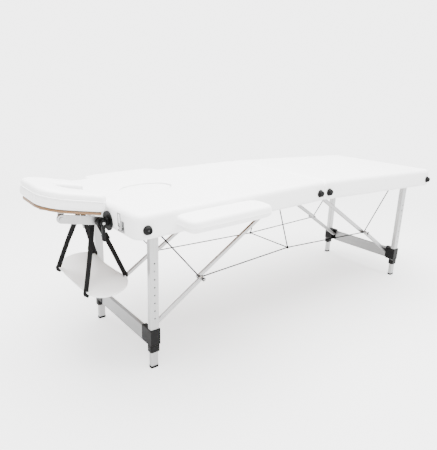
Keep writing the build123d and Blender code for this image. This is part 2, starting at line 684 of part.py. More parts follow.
# ---- armrests ----------------------------------------------------------------------------------
for hand_name, hand in HANDS.items():
    local_hand = -hand
    middle_x = sum(ARMREST_X) / 2
    middle_y = local_hand * sum(ARMREST_Y) / 2
    length = ARMREST_X[1] - ARMREST_X[0]
    width = ARMREST_Y[1] - ARMREST_Y[0]
    board_zs = (ARMREST_Z[0], ARMREST_Z[0] + ARMREST_BOARD)
    with BuildPart() as board:
        inset = 2 * COVER
        corner = ARMREST_CORNER - inset
        column(head, middle_x, middle_y, board_zs, length - inset, width - inset, corner)
        for x in POST_XS:
            post_ys = both(POST_END_Y, ARMREST_Y[0] + width / 2, local_hand)
            pin(head, x, POST_Z, POST_R, post_ys)
    save(board, f"armrest_board_{hand_name}")
    with BuildPart() as pad:
        pad_zs = (board_zs[1], ARMREST_Z[1])
        column(head, middle_x, middle_y, pad_zs, length, width, ARMREST_CORNER)
    save(pad, f"armrest_pad_{hand_name}")

# ---- face cradle -------------------------------------------------------------------------------
knuckle = head.from_local_coords(Vector(KNUCKLE_X, 0, KNUCKLE_Z))
tilt = radians(CRADLE_TILT)
cradle = Plane(
    origin=knuckle, x_dir=(-cos(tilt), 0, sin(tilt)), z_dir=(sin(tilt), 0, cos(tilt))
)

with BuildPart() as posts:
    post_xs = (CRADLE_POST_END, KNUCKLE_X - CRADLE_POST_R)
    for hand in HANDS.values():
        rod(head, hand * CRADLE_POST_Y, KNUCKLE_Z, CRADLE_POST_R, post_xs)
save(posts, "cradle_posts")

with BuildPart() as knuckles:
    for hand in HANDS.values():
        y = hand * CRADLE_POST_Y
        pin(head, KNUCKLE_X, KNUCKLE_Z, HUB_R, both(*HUB_Y, hand))
        rod(head, y, KNUCKLE_Z, FLANGE_R / 2, (FLANGE_X[0], KNUCKLE_X - SHANK_GAP))
        rod(head, y, KNUCKLE_Z, FLANGE_R, FLANGE_X)
        bore = (FLANGE_X[0] - 1, KNUCKLE_X)
        rod(head, y, KNUCKLE_Z, CRADLE_POST_R, bore, Mode.SUBTRACT)
        pin(head, KNUCKLE_X, KNUCKLE_Z, ROD_R + PIN_GAP, both(*HUB_Y, hand), Mode.SUBTRACT)
save(knuckles, "cradle_knuckles")

with BuildPart() as arms:
    for hand in HANDS.values():
        arm_ys = both(ARM_Y - ARM_THICK / 2, ARM_Y + ARM_THICK / 2, hand)
        with BuildSketch(spot(cradle, ARM_LENGTH / 2, max(arm_ys), 0, "xz")):
            SlotCenterToCenter(ARM_LENGTH, ARM_TALL)
        extrude(amount=ARM_THICK)
        pin(cradle, 0, 0, ROD_R, both(0, LEVER_Y[1] + ROD_REACH, hand))
        cap_end = ARM_Y + ARM_THICK / 2 + TIP_REACH
        tip_ys = both(LUG_Y[0] - TIP_REACH, cap_end, hand)
        pin(cradle, ARM_LENGTH, 0, PIN_R, tip_ys)
        cap_ys = both(ARM_Y, cap_end, hand)
        pin(cradle, ARM_LENGTH, 0, BOLT_HEAD_R, cap_ys)
save(arms, "cradle_arms")

with BuildPart() as lever:
    lever_ys = both(*LEVER_Y, 1)
    pin(head, KNUCKLE_X, KNUCKLE_Z, LEVER_HUB_R, lever_ys)
    lever_xs = (KNUCKLE_X - LEVER_TIP_R, KNUCKLE_X + LEVER_TIP_R)
    bar(head, lever_xs, lever_ys, (KNUCKLE_Z - LEVER_LENGTH, KNUCKLE_Z))
    pin(head, KNUCKLE_X, KNUCKLE_Z - LEVER_LENGTH, LEVER_TIP_R, lever_ys)
    pin(head, KNUCKLE_X, KNUCKLE_Z, ROD_R + PIN_GAP, lever_ys, Mode.SUBTRACT)
save(lever, "cradle_lever")

with BuildPart() as face_board:
    with BuildSketch(cradle.offset(BOARD_Z[0])):
        horseshoe(BOARD_INSET)
    extrude(amount=BOARD_Z[1] - BOARD_Z[0])
save(face_board, "cradle_board")

with BuildPart() as lugs:
    for hand in HANDS.values():
        lug_ys = both(*LUG_Y, hand)
        pin(cradle, ARM_LENGTH, 0, EAR_HALF, lug_ys)
        bar(cradle, (ARM_LENGTH - EAR_HALF, ARM_LENGTH + EAR_HALF), lug_ys, (0, BOARD_Z[0]))
        pin(cradle, ARM_LENGTH, 0, PIN_R + PIN_GAP, lug_ys, Mode.SUBTRACT)
save(lugs, "cradle_lugs")

with BuildPart() as pillow:
    with BuildSketch(cradle.offset(BOARD_Z[1])):
        horseshoe(0)
    extrude(amount=PILLOW_TOP - BOARD_Z[1])
save(pillow, "face_pillow")

# ---- arm sling, hung from the cradle rod by four webbing straps --------------------------------
outer = Vector(FOLD_X + SLING_OUTER[0], 0, SLING_OUTER[1])
inner = Vector(FOLD_X + SLING_INNER[0], 0, SLING_INNER[1])
sling_frame = link_frame(inner, outer, -1)
sling_length = (outer - inner).length
with BuildPart() as sling:
    with BuildSketch(spot(sling_frame, sling_length / 2, 0, -SLING_THICK)):
        RectangleRounded(sling_length, 2 * SLING_HALF_WIDTH, SLING_CORNER)
    extrude(amount=SLING_THICK)
save(sling, "arm_sling")

with BuildPart() as straps:
    for hand in HANDS.values():
        top_point = Vector(FOLD_X + STRAP_TOP[0], hand * STRAP_TOP_Y, STRAP_TOP[1])
        for corner, step in ((outer, 1), (inner, -1)):
            low_x = corner.X + step * STRAP_WIDTH
            low = Vector(low_x, hand * STRAP_LOW_Y, corner.Z + STRAP_LIFT)
            high = top_point - Vector(step * STRAP_SPREAD, 0, 0)
            along = (high - low).normalized()
            with BuildSketch(Plane(origin=low, x_dir=(along.Z, 0, -along.X), z_dir=along)):
                Rectangle(STRAP_WIDTH, STRAP_THICK)
            extrude(amount=(high - low).length)
save(straps, "sling_straps")

joints = {
    "top": brace_points("foot")[0],
    "knee": brace_points("foot")[1],
    "foot": brace_points("foot")[2],
    "leg": leg_pivot("foot"),
    "knuckle": knuckle,
    "cradle tip": cradle.from_local_coords(Vector(ARM_LENGTH, 0, 0)),
    "latch": head.from_local_coords(Vector(LATCH_AXIS_X, 0, LATCH_Z)),
}
for label, point in joints.items():
    print(label, round(point.X, 3), round(point.Z, 3))
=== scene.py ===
"""Looks of the portable facial treatment bed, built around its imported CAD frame.

Metres, +Z up. Each table half has its own frame: x outward from the fold, z up from the hinge axis.
The face rest has one too: x along its arms from the knuckles, z out of its board.
"""

import json
from math import asin, atan2, ceil, cos, hypot, pi, radians, sin, sqrt

import bpy
import numpy as np
from mathutils import Matrix, Vector, noise


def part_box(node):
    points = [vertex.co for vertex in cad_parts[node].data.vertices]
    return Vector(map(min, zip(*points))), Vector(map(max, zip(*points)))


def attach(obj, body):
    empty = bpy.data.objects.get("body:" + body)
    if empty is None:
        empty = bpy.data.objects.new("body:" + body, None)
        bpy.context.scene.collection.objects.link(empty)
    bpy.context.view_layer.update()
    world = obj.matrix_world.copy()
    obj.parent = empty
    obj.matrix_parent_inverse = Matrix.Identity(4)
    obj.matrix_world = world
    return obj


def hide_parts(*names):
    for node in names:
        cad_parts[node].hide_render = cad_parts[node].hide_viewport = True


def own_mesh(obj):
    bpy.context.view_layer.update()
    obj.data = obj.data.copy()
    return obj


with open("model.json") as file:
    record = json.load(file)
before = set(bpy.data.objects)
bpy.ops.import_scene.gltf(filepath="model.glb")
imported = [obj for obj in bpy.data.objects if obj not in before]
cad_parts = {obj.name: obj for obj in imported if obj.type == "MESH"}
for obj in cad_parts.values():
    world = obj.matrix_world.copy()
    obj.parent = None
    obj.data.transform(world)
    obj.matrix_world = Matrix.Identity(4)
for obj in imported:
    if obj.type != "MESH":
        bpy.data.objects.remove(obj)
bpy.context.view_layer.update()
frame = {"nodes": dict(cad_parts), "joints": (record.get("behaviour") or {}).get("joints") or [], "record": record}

MM = 0.001

JOINTS = {joint["name"]: joint for joint in frame["joints"]}
FOLD = Vector(JOINTS["fold_first"]["pos_m"])
DROOP = asin(-JOINTS["cradle_slide"]["axis"][2])  # slope of each half, down from the fold
KNUCKLE = Vector(JOINTS["cradle_arm_tilt"]["pos_m"])
TIP = Vector(JOINTS["cradle_platform_tilt"]["pos_m"])
SIDES = {"head": -1, "foot": 1}  # along x
HANDS = {"left": -1, "right": 1}  # along y

# brightness of the surround as the camera sees it, and as it lights
SURROUND = 4.6
AMBIENT = 1.25

# upholstery
SKIN = 1.8 * MM
PAD_EDGE = 22 * MM  # rounding of the top's edges
PAD_CROWN = 5 * MM
OUTER_CORNER = 35 * MM
FOLD_CORNER = 9 * MM
SEAM_R = 1.1 * MM
BUSH_R = 11 * MM
BORE_REACH = 30 * MM
ARMREST_EDGE = 15 * MM
ARMREST_CORNER = 38 * MM
ARMREST_BOARD_INSET = 14 * MM
PIPING_R = 1.5 * MM
PIPING_GROW = 1.2 * MM  # how far a piping stands out of its pad

# face pillow
FACE_HALF = 50 * MM  # half width of the face opening
FACE_X = 75 * MM  # centre of its round end
PILLOW_CORNER = 90 * MM
PILLOW_TIP = 30 * MM  # length over which the arms' ends round off

# bracing cables
CABLE_Y = 185.5 * MM
CABLE_R = 2.8 * MM
JOIN_Z = 300 * MM  # the joins hang under the fold, one on each side
JOIN_Y = 138 * MM
ANCHOR_Y = 40 * MM
ANCHOR_Z = 578 * MM
ANCHOR_BACK = 11 * MM  # from the fold to the middle of the head half's rail
JOIN_GAP = 5 * MM
EYE_GAP = 12 * MM
EYE_R = 6 * MM
EYE_WIRE_R = 1.3 * MM
FERRULE_R = 3.0 * MM
FERRULE_LENGTH = 13 * MM
FERRULE_LAP = 4 * MM
CLAMP_R = 5.5 * MM
CLAMP_HALF = 6 * MM

# knees and height holes
KNEE_EDGE = 10 * MM  # from a knee's axis to the end of its upper brace
KNEE_CAP_R = 8.5 * MM
KNEE_CAP_PROUD = 2.6 * MM
LEG_HOLE_R = 3.1 * MM
LEG_HOLE_PITCH = 31.5 * MM
LEG_HOLE_COUNT = 8
LEG_HOLE_DEPTH = 0.7 * MM

# arm sling
SLING_EDGE = 3 * MM
SLING_SAG = 15 * MM
SLING_BELLY = 8 * MM
SLING_CREASE = 1.5 * MM
SLING_THICK = 4.5 * MM
HEM_R = 3.0 * MM
STRAP_WIDTH = 19 * MM
STRAP_THICK = 2 * MM
STRAP_SPREAD = 14 * MM
STRAP_BOW = 4 * MM
STRAP_LOW_Y = 140 * MM
STRAP_TOP_Y = 66 * MM
ROD_R = 5 * MM


# ---- frames ---------------------------------------------------------------------------------
def frame_of(origin, x_dir, z_dir):
    """Matrix of a right-handed frame."""
    x_dir = Vector(x_dir).normalized()
    z_dir = Vector(z_dir).normalized()
    y_dir = z_dir.cross(x_dir)
    m = Matrix((x_dir, y_dir, z_dir)).transposed().to_4x4()
    m.translation = origin
    return m


def half_frame(side):
    """Frame of a table half at the fold."""
    x_dir = (side * cos(DROOP), 0, -sin(DROOP))
    z_dir = (side * sin(DROOP), 0, cos(DROOP))
    return frame_of(FOLD, x_dir, z_dir)


HALF = {name: half_frame(side) for name, side in SIDES.items()}
CRADLE_X = (TIP - KNUCKLE).normalized()
CRADLE = frame_of(KNUCKLE, CRADLE_X, CRADLE_X.cross(Vector((0, -1, 0))))


def local_box(node, matrix):
    """Lowest and highest corner of a CAD node in a frame."""
    back = matrix.inverted()
    points = np.array([back @ v.co for v in frame["nodes"][node].data.vertices])
    return Vector(points.min(0)), Vector(points.max(0))


# ---- materials ------------------------------------------------------------------------------
def shader(name, colour, roughness, metallic=0.0, **sockets):
    """New material with one Principled shader, and its node tree."""
    made = bpy.data.materials.new(name)
    made.use_nodes = True
    tree = made.node_tree
    principled = tree.nodes["Principled BSDF"]
    principled.inputs["Base Color"].default_value = (*colour, 1)
    principled.inputs["Roughness"].default_value = roughness
    principled.inputs["Metallic"].default_value = metallic
    for socket, value in sockets.items():
        principled.inputs[socket.replace("_", " ")].default_value = value
    return made, tree, principled


def coordinates(tree, scale, rotation=(0, 0, 0)):
    """Object coordinates, turned and then scaled."""
    source = tree.nodes.new("ShaderNodeTexCoord")
    mapping = tree.nodes.new("ShaderNodeMapping")
    mapping.vector_type = "TEXTURE"
    mapping.inputs["Rotation"].default_value = rotation
    mapping.inputs["Scale"].default_value = [1 / s for s in scale]
    tree.links.new(source.outputs["Object"], mapping.inputs["Vector"])
    return mapping.outputs["Vector"]


def noise_node(tree, vector, scale, detail=3.0, roughness=0.5):
    """Noise factor at a scale."""
    node = tree.nodes.new("ShaderNodeTexNoise")
    node.inputs["Scale"].default_value = scale
    node.inputs["Detail"].default_value = detail
    node.inputs["Roughness"].default_value = roughness
    tree.links.new(vector, node.inputs["Vector"])
    return node.outputs["Fac"]


def ramp(tree, value, stops):
    """Colour ramp from (position, colour) pairs."""
    node = tree.nodes.new("ShaderNodeValToRGB")
    band = node.color_ramp
    while len(band.elements) < len(stops):
        band.elements.new(0.5)
    for element, (position, colour) in zip(band.elements, stops):
        element.position = position
        element.color = (*colour, 1)
    tree.links.new(value, node.inputs["Fac"])
    return node.outputs["Color"]


def remap(tree, value, low, high):
    """A factor spread over another range."""
    node = tree.nodes.new("ShaderNodeMapRange")
    node.inputs["To Min"].default_value = low
    node.inputs["To Max"].default_value = high
    tree.links.new(value, node.inputs["Value"])
    return node.outputs["Result"]


def bump(tree, principled, height, strength, distance, below=None):
    """Bump from a height, on top of another bump's normal if there is one."""
    node = tree.nodes.new("ShaderNodeBump")
    node.inputs["Strength"].default_value = strength
    node.inputs["Distance"].default_value = distance
    tree.links.new(height, node.inputs["Height"])
    if below is not None:
        tree.links.new(below, node.inputs["Normal"])
    tree.links.new(node.outputs["Normal"], principled.inputs["Normal"])
    return node.outputs["Normal"]


def grey(value):
    """Neutral colour."""
    return (value, value, value)


def vinyl(name, tone=0.9):
    """White upholstery vinyl: fine pebbled grain, faint creases and a soft gloss."""
    made, tree, principled = shader(name, grey(tone), 0.42, Specular_IOR_Level=0.35)
    vector = coordinates(tree, (1, 1, 1))
    wide = noise_node(tree, vector, 5, 2)
    tint = ramp(tree, wide, [(0.3, grey(tone * 0.975)), (0.7, grey(tone))])
    tree.links.new(tint, principled.inputs["Base Color"])
    cells = tree.nodes.new("ShaderNodeTexVoronoi")
    cells.inputs["Scale"].default_value = 620
    tree.links.new(vector, cells.inputs["Vector"])
    gloss = noise_node(tree, vector, 40, 2)
    tree.links.new(remap(tree, gloss, 0.36, 0.52), principled.inputs["Roughness"])
    soft = bump(tree, principled, noise_node(tree, vector, 16, 2), 0.25, 1.2 * MM)
    bump(tree, principled, cells.outputs["Distance"], 0.22, 0.25 * MM, soft)
    return made


def wood(name, light, dark):
    """Sealed wood with its grain along x."""
    made, tree, principled = shader(name, light, 0.45, Coat_Weight=0.15)
    vector = coordinates(tree, (2, 30, 30))
    grain = noise_node(tree, vector, 3, 6, 0.6)
    tint = ramp(tree, grain, [(0.32, dark), (0.68, light)])
    tree.links.new(tint, principled.inputs["Base Color"])
    bump(tree, principled, grain, 0.2, 0.2 * MM)
    return made


def plywood(name, rotation=(0, 0, 0)):
    """Birch plywood: thin glued layers on its edges."""
    made, tree, principled = shader(name, (0.6, 0.42, 0.24), 0.5, Coat_Weight=0.1)
    vector = coordinates(tree, (1, 1, 1), rotation)
    layers = tree.nodes.new("ShaderNodeTexWave")
    layers.bands_direction = "Z"
    layers.inputs["Scale"].default_value = 105
    layers.inputs["Distortion"].default_value = 0.6
    tree.links.new(vector, layers.inputs["Vector"])
    stops = [(0.2, (0.08, 0.035, 0.01)), (0.55, (0.2, 0.1, 0.035)), (0.9, (0.28, 0.15, 0.06))]
    tree.links.new(ramp(tree, layers.outputs["Fac"], stops), principled.inputs["Base Color"])
    grain = noise_node(tree, coordinates(tree, (4, 60, 4), rotation), 4, 4)
    bump(tree, principled, grain, 0.2, 0.2 * MM)
    return made


def brushed(name, tone, roughness, along):
    """Metal with fine brushing along one axis, given by its number."""
    made, tree, principled = shader(name, grey(tone), roughness, 1.0)
    scale = [900, 900, 900]
    scale[along] = 12
    vector = coordinates(tree, scale)
    lines = noise_node(tree, vector, 1, 2)
    tint = ramp(tree, lines, [(0.3, grey(tone * 0.86)), (0.7, grey(tone))])
    tree.links.new(tint, principled.inputs["Base Color"])
    smears = noise_node(tree, coordinates(tree, (1, 1, 1)), 18, 3)
    shine = remap(tree, smears, roughness * 0.85, roughness * 1.2)
    tree.links.new(shine, principled.inputs["Roughness"])
    bump(tree, principled, lines, 0.06, 0.1 * MM)
    return made


def moulded(name, tone, roughness, grain, depth):
    """Moulded black plastic or rubber with a fine speckle."""
    made, tree, principled = shader(name, grey(tone), roughness, Specular_IOR_Level=0.1)
    vector = coordinates(tree, (1, 1, 1))
    speckle = noise_node(tree, vector, grain, 2)
    tint = ramp(tree, speckle, [(0.3, grey(tone * 0.8)), (0.7, grey(tone * 1.25))])
    tree.links.new(tint, principled.inputs["Base Color"])
    bump(tree, principled, speckle, 0.3, depth)
    return made


def woven(name, tone):
    """Black webbing with a narrow weave."""
    made, tree, principled = shader(name, grey(tone), 0.8, Specular_IOR_Level=0.15)
    vector = coordinates(tree, (1, 1, 1))
    weave = tree.nodes.new("ShaderNodeTexBrick")
    weave.inputs["Scale"].default_value = 330
    weave.inputs["Color1"].default_value = (*grey(tone), 1)
    weave.inputs["Color2"].default_value = (*grey(tone * 1.8), 1)
    weave.inputs["Mortar"].default_value = (*grey(tone * 0.4), 1)
    tree.links.new(vector, weave.inputs["Vector"])
    tree.links.new(weave.outputs["Color"], principled.inputs["Base Color"])
    bump(tree, principled, weave.outputs["Fac"], 0.5, -0.3 * MM)
    return made


def wire_rope(name):
    """Dark coated wire rope with its lay."""
    made, tree, principled = shader(name, grey(0.002), 0.8, Specular_IOR_Level=0.05)
    vector = coordinates(tree, (1, 1, 1), (0.6, 0.6, 0.6))
    lay = tree.nodes.new("ShaderNodeTexWave")
    lay.inputs["Scale"].default_value = 160
    tree.links.new(vector, lay.inputs["Vector"])
    tint = ramp(tree, lay.outputs["Fac"], [(0.2, grey(0.001)), (0.8, grey(0.004))])
    tree.links.new(tint, principled.inputs["Base Color"])
    bump(tree, principled, lay.outputs["Fac"], 0.4, 0.3 * MM)
    return made


BOARD_TURN = (0, -atan2(CRADLE_X.z, -CRADLE_X.x), 0)
MATERIALS = {
    "white_vinyl": vinyl("white_vinyl"),
    # painted shade: the sling's vinyl is the white vinyl darkened for the shadow it hangs in under the face rest
    "shade_darkened_sling_vinyl": vinyl("shade_darkened_sling_vinyl", 0.78),
    "beech": wood("beech", (0.42, 0.25, 0.11), (0.32, 0.17, 0.07)),
    "plywood": plywood("plywood"),
    "cradle_plywood": plywood("cradle_plywood", BOARD_TURN),
    "black_rubber": moulded("black_rubber", 0.004, 0.62, 500, 0.15 * MM),
    "black_plastic": moulded("black_plastic", 0.004, 0.45, 900, 0.1 * MM),
    "steel": brushed("steel", 0.34, 0.26, 1),
    # painted shade: the bumper screws' steel is darkened for the wells they sit sunk in
    "shaded_screw_steel": brushed("shaded_screw_steel", 0.06, 0.4, 1),
    "aluminium": brushed("aluminium", 0.4, 0.36, 2),
    # painted shade: the crossbars' aluminium is the leg aluminium darkened for the shadow under the table
    "shade_darkened_crossbar_aluminium": brushed("shade_darkened_crossbar_aluminium", 0.26, 0.4, 1),
    "cable": wire_rope("cable"),
    "webbing": woven("webbing", 0.004),
}
MATERIALS["foam"] = MATERIALS["white_vinyl"]


# ---- mesh helpers ---------------------------------------------------------------------------
def piece(name, points, faces, material, matrix=None, smooth=True):
    """New mesh object from points given in a frame."""
    mesh = bpy.data.meshes.new(name)
    mesh.from_pydata([tuple(p) for p in points], [], faces)
    mesh.validate()
    mesh.update()
    if matrix is not None:
        mesh.transform(matrix)
    if smooth:
        mesh.shade_smooth()
    mesh.materials.append(MATERIALS[material])
    made = bpy.data.objects.new(name, mesh)
    bpy.context.scene.collection.objects.link(made)
    return made


def settle(made, body, slot, *nodes):
    """The piece rides on a body and stands for CAD nodes, which it hides. Its slot is not used."""
    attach(made, body)
    if nodes:
        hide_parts(*nodes)
    return made


def joined(name, parts):
    """Several new mesh objects as one."""
    with bpy.context.temp_override(
        active_object=parts[0], object=parts[0], selected_editable_objects=parts
    ):
        bpy.ops.object.join()
    parts[0].name = name
    parts[0].data.name = name
    return parts[0]


def apply_modifiers(made):
    """Mesh as its modifiers leave it."""
    graph = bpy.context.evaluated_depsgraph_get()
    mesh = bpy.data.meshes.new_from_object(made.evaluated_get(graph))
    made.modifiers.clear()
    made.data = mesh
    return made


def thicken(made, thickness, offset):
    """Gives a surface its thickness."""
    shell = made.modifiers.new("skin", "SOLIDIFY")
    shell.thickness = thickness
    shell.offset = offset
    return apply_modifiers(made)


def bridge(first, second, count):
    """Quads between two rings of vertices, given by the first vertex of each."""
    return [
        (first + i, first + (i + 1) % count, second + (i + 1) % count, second + i)
        for i in range(count)
    ]


def ring_faces(upper, lower):
    """Quads between two listed rings of vertices."""
    count = len(upper)
    return [(upper[i], lower[i], lower[(i + 1) % count], upper[(i + 1) % count]) for i in range(count)]


def grid_faces(rows, columns):
    """Quads of a grid of vertices, row by row."""
    return [
        (r * columns + c, r * columns + c + 1, (r + 1) * columns + c + 1, (r + 1) * columns + c)
        for r in range(rows - 1)
        for c in range(columns - 1)
    ]


def grid_rim(rows, columns):
    """Vertices round the edge of a grid, in order."""
    rim = list(range(columns))
    rim += [k * columns + columns - 1 for k in range(1, rows)]
    rim += [(rows - 1) * columns + k for k in range(columns - 2, -1, -1)]
    rim += [k * columns for k in range(rows - 2, 0, -1)]
    return rim


def circle(count):
    """Angles round a circle."""
    return [2 * pi * k / count for k in range(count)]


def path_length(path):
    """Length along points."""
    return sum((b - a).length for a, b in zip(path, path[1:]))


def sweep(name, rings, material, matrix=None, closed_path=False, caps=True):
    """Mesh through equal rings of points."""
    count = len(rings[0])
    points = [p for ring in rings for p in ring]
    faces = []
    steps = len(rings) if closed_path else len(rings) - 1
    for k in range(steps):
        faces += bridge(k * count, (k + 1) % len(rings) * count, count)
    if caps and not closed_path:
        faces.append(tuple(reversed(range(count))))
        faces.append(tuple(range(len(points) - count, len(points))))
    return piece(name, points, faces, material, matrix)


def tube(name, path, radius, material, matrix=None, closed=False, sides=10):
    """Round tube along points."""
    path = [Vector(p) for p in path]
    count = len(path)
    rings = []
    side_dir = None
    for k, point in enumerate(path):
        after = path[(k + 1) % count] if closed or k < count - 1 else point
        before = path[k - 1] if closed or k else point
        along = (after - before).normalized()
        if side_dir is None:
            side_dir = along.orthogonal().normalized()
        side_dir = (side_dir - along * side_dir.dot(along)).normalized()
        up = along.cross(side_dir)
        rings.append([point + (side_dir * cos(a) + up * sin(a)) * radius for a in circle(sides)])
    return sweep(name, rings, material, matrix, closed)


def lathe(name, profile, material, matrix, sides=32, stretch=1.0, caps=True):
    """Turned shape about z from (radius, height) pairs, stretched along x."""
    rings = [
        [(radius * cos(a) * stretch, radius * sin(a), height) for a in circle(sides)]
        for radius, height in profile
    ]
    return sweep(name, rings, material, matrix, caps=caps)


def block(name, low, high, material, matrix=None, bevel=1 * MM):
    """Box with bevelled edges."""
    xs, ys, zs = zip(low, high)
    points = [(x, y, z) for z in zs for y in ys for x in xs]
    faces = [(0, 2, 3, 1), (4, 5, 7, 6), (0, 1, 5, 4), (2, 6, 7, 3), (0, 4, 6, 2), (1, 3, 7, 5)]
    made = piece(name, points, faces, material, matrix, smooth=False)
    soften(made, bevel)
    return apply_modifiers(made)


def soften(made, width):
    """Bevelled edges with smooth shading between them."""
    weld = made.modifiers.new("weld", "WELD")
    weld.merge_threshold = 1e-5
    edge = made.modifiers.new("bevel", "BEVEL")
    edge.width = width
    edge.segments = 2
    edge.limit_method = "ANGLE"
    edge.angle_limit = radians(50)
    edge.harden_normals = True


# ---- pads -----------------------------------------------------------------------------------
def stations(length, edge, spacing):
    """Places across a pad, close together on its rounded edges."""
    near = [edge * (1 - cos(radians(a))) for a in range(0, 90, 15)]
    count = max(2, ceil((length - 2 * edge) / spacing))
    middle = list(np.linspace(edge, length - edge, count + 1))
    places = near + middle + [length - x for x in reversed(near)]
    return [x - length / 2 for x in places]


def on_plan(x, y, half_x, half_y, corners):
    """Grid point moved onto the rounded plan, with its distance in from the edge."""
    corner = corners[1] if x > 0 else corners[0]
    inset = max(0.0, min(half_x - abs(x), half_y - abs(y)))
    radius = max(corner - inset, 0.0)
    core_x = half_x - inset - radius
    core_y = half_y - inset - radius
    dx = abs(x) - core_x
    dy = abs(y) - core_y
    if radius > 0 and dx > 0 and dy > 0:
        reach = hypot(dx, dy)
        x = (core_x + dx / reach * radius) * (1 if x > 0 else -1)
        y = (core_y + dy / reach * radius) * (1 if y > 0 else -1)
    return x, y, inset


def outward(x, y, half_x, half_y, corners):
    """Direction out of the plan at a point on its edge."""
    corner = corners[1] if x > 0 else corners[0]
    core_x = max(min(x, half_x - corner), corner - half_x)
    core_y = max(min(y, half_y - corner), corner - half_y)
    return Vector((x - core_x, y - core_y)).normalized()


def pad(name, size, zs, corners, edge, crown, bulge, matrix, closed, ripple=0.0, spacing=14 * MM):
    """Upholstered pad on a rounded plan, with soft edges, a crowned top and puffed sides.

    A closed pad has a bottom like its top, and an open one ends at its lower edge.
    """
    half_x, half_y = size[0] / 2, size[1] / 2
    bottom, top = zs
    xs = stations(size[0], edge, spacing)
    ys = stations(size[1], edge, spacing)
    columns, rows = len(xs), len(ys)

    def grid(level, way):
        """Points of the top or, the other way up, of the bottom."""
        points = []
        for y in ys:
            for x in xs:
                px, py, inset = on_plan(x, y, half_x, half_y, corners)
                rise = 0.0
                if inset < edge:
                    rise = sqrt(edge**2 - (edge - inset) ** 2) - edge
                swell = (1 - (x / half_x) ** 2) * (1 - (y / half_y) ** 2)
                wave = noise.noise((px * 9, py * 9, level * 50)) * ripple * swell
                points.append((px, py, level + way * (rise + crown * sqrt(swell)) + wave))
        return points

    ring = grid_rim(rows, columns)
    points = grid(top - crown, 1)
    top_faces = grid_faces(rows, columns)
    faces = list(top_faces)
    low_edge = bottom + edge if closed else bottom
    high_edge = top - crown - edge
    steps = 7
    upper = ring
    for k in range(1, steps + (0 if closed else 1)):
        t = k / steps
        start = len(points)
        for i in ring:
            x, y, _ = points[i]
            out = outward(x, y, half_x, half_y, corners) * bulge * sin(pi * t)
            points.append((x + out.x, y + out.y, high_edge + (low_edge - high_edge) * t))
        lower = list(range(start, start + len(ring)))
        faces += ring_faces(upper, lower)
        upper = lower
    if closed:
        start = len(points)
        points += grid(bottom + 0.2 * crown, -1)
        faces += [tuple(start + i for i in reversed(face)) for face in top_faces]
        faces += ring_faces(upper, [start + i for i in ring])
    return piece(name, points, faces, "white_vinyl", matrix)


def outline(size, corner, steps=8):
    """Points round a rectangle with rounded corners."""
    core_x, core_y = size[0] / 2 - corner, size[1] / 2 - corner
    points = []
    for x_way, y_way, start in ((1, 1, 0), (-1, 1, 90), (-1, -1, 180), (1, -1, 270)):
        for k in range(steps + 1):
            a = radians(start + 90 * k / steps)
            points.append((x_way * core_x + corner * cos(a), y_way * core_y + corner * sin(a)))
    return points


def plate(name, plan, zs, material, matrix):
    """Flat plate of a given plan."""
    count = len(plan)
    points = [(x, y, z) for z in zs for x, y in plan]
    faces = ring_faces(list(range(count, 2 * count)), list(range(count)))
    faces += [tuple(reversed(range(count))), tuple(range(count, 2 * count))]
    return piece(name, points, faces, material, matrix, smooth=False)


def rounded(radius, low, high, edge, dome=0.0):
    """Profile of a disc with rounded rims, and a raised middle if asked for."""
    turn = [radians(a) for a in range(0, 91, 18)]
    lower = [(radius - edge + edge * sin(a), low + edge - edge * cos(a)) for a in turn]
    upper = [(radius - edge + edge * cos(a), high - edge + edge * sin(a)) for a in turn]
    middle = 0.5 * MM
    return [(middle, low), *lower, *upper, (middle, high + dome)]


def cut(made, cutters):
    """Takes the cutters' shapes out of the piece, and drops the cutters."""
    cutter = joined("cutter", cutters) if len(cutters) > 1 else cutters[0]
    modifier = made.modifiers.new("cut", "BOOLEAN")
    modifier.operation = "DIFFERENCE"
    modifier.solver = "EXACT"
    modifier.object = cutter
    apply_modifiers(made)
    bpy.data.objects.remove(cutter)
    return made


def table_pads():
    """Upholstered tops of the two halves."""
    corners = (FOLD_CORNER, OUTER_CORNER)
    for name in SIDES:
        half = HALF[name]
        low, high = local_box(f"{name}_cover", half)
        at = half @ Matrix.Translation(((low.x + high.x) / 2, 0, 0))
        size = (high.x - low.x, high.y - low.y)
        zs = (low.z, high.z + 1.5 * MM)
        made = pad(
            f"{name}_pad", size, zs, corners, PAD_EDGE, PAD_CROWN, 1.2 * MM, at,
            closed=False, ripple=0.8 * MM,
        )
        thicken(made, SKIN, -1)
        if name == "head":
            cut(made, head_cutters(half))
        made.data.shade_smooth()
        settle(made, f"{name}_half", "white_vinyl", f"{name}_cover", f"{name}_foam")
        corner_seams(name, low.x, high.x, size[1] / 2)


def corner_seams(name, fold_x, end_x, half_y):
    """Sewn seams up the four corners of a half's upholstery."""
    proud = 0.3 * MM
    climb = [(0, z * MM) for z in range(2, 68, 6)] + [(4 * MM, 74 * MM), (10 * MM, 79.5 * MM)]
    seams = []
    for x_end, corner, way in ((fold_x, FOLD_CORNER, -1), (end_x, OUTER_CORNER, 1)):
        shift = corner * (1 - cos(pi / 4)) - proud
        for y_way in (-1, 1):
            x = x_end - way * shift
            y = y_way * (half_y - shift)
            path = [(x - way * back, y - y_way * back, z) for back, z in climb]
            seams.append(tube("seam", path, SEAM_R, "white_vinyl", HALF[name], sides=8))
    settle(joined(f"{name}_pad_seams", seams), f"{name}_half", "white_vinyl")


